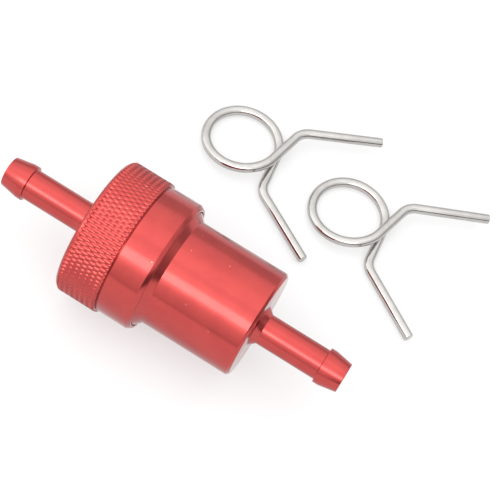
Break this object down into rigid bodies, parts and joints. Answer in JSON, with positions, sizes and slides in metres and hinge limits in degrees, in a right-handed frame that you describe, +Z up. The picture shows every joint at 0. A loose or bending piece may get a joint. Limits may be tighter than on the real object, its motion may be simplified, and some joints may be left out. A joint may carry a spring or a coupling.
{
  "type": "fuel filter",
  "caption": "Red anodised in-line fuel filter with a knurled screw cap, a hose barb at each end, a mesh element inside, and spring wire hose clips.",
  "frame": {"origin": "on the filter's axis, at the middle of the housing's smooth body", "axes": "+X along the flow, from the inlet barb to the outlet barb; +Z up; the hose clips lie beside it on the +Y side"},
  "size_m": [0.0799, 0.0725, 0.0271],
  "materials": {
    "anodised_red": "turned, bright red anodised, satin gloss",
    "plain_aluminium": "turned, bare",
    "black_rubber": "moulded, dull",
    "gasket_fibre": "pressed, dull",
    "steel_tube": "rolled, punched",
    "steel_mesh": "woven wire",
    "spring_steel": "drawn wire",
    "plated_wire": "bright nickel plated wire"
  },
  "bodies": {
    "housing": {"housing": "anodised_red", "cap_o_ring": "black_rubber"},
    "element": {"element_gasket": "gasket_fibre", "element_collar": "plain_aluminium", "element_core": "steel_tube", "element_mesh": "steel_mesh", "element_end_plug": "plain_aluminium"},
    "spring": {"element_spring": "spring_steel"},
    "spring_seat": {"spring_seat": "steel_tube"},
    "inlet_cap": {"inlet_cap": "anodised_red"},
    "inlet_clip": {"inlet_clip_under": "plated_wire"},
    "inlet_clip_arm": {"inlet_clip_over": "plated_wire"},
    "outlet_clip": {"outlet_clip_under": "plated_wire"},
    "outlet_clip_arm": {"outlet_clip_over": "plated_wire"}
  },
  "joints": [
    {"name": "element_pull", "type": "slide", "parent": "housing", "child": "element", "axis": [-1, 0, 0], "range_m": [0, 0.032]},
    {"name": "cap_pull", "type": "slide", "parent": "element", "child": "spring", "axis": [-1, 0, 0], "range_m": [0, 0.02]},
    {"name": "cap_travel", "type": "slide", "parent": "spring", "child": "spring_seat", "axis": [-1, 0, 0], "range_m": [0, 0.00501], "deforming": ["element_spring"]},
    {"name": "cap_unscrew", "type": "hinge", "parent": "spring_seat", "child": "inlet_cap", "pos_m": [0, 0, 0], "axis": [-1, 0, 0], "range_deg": [0, 1800]},
    {"name": "inlet_clip_lift", "type": "slide", "parent": "housing", "child": "inlet_clip", "axis": [0, 0, 1], "range_m": [0, 0.03]},
    {"name": "inlet_clip_pinch", "type": "hinge", "parent": "inlet_clip", "child": "inlet_clip_arm", "pos_m": [-0.023, 0.04192, -0.01255], "axis": [0, 0, -1], "range_deg": [0, 16], "stiffness_Nm_per_rad": 0.15},
    {"name": "outlet_clip_lift", "type": "slide", "parent": "housing", "child": "outlet_clip", "axis": [0, 0, 1], "range_m": [0, 0.03]},
    {"name": "outlet_clip_pinch", "type": "hinge", "parent": "outlet_clip", "child": "outlet_clip_arm", "pos_m": [0.00301, 0.04038, -0.01255], "axis": [0, 0, -1], "range_deg": [0, 16], "stiffness_Nm_per_rad": 0.15}
  ],
  "couplings": [
    {"joint": "cap_travel", "follows": "cap_unscrew", "m_per_rad": 0.00015915}
  ]
}
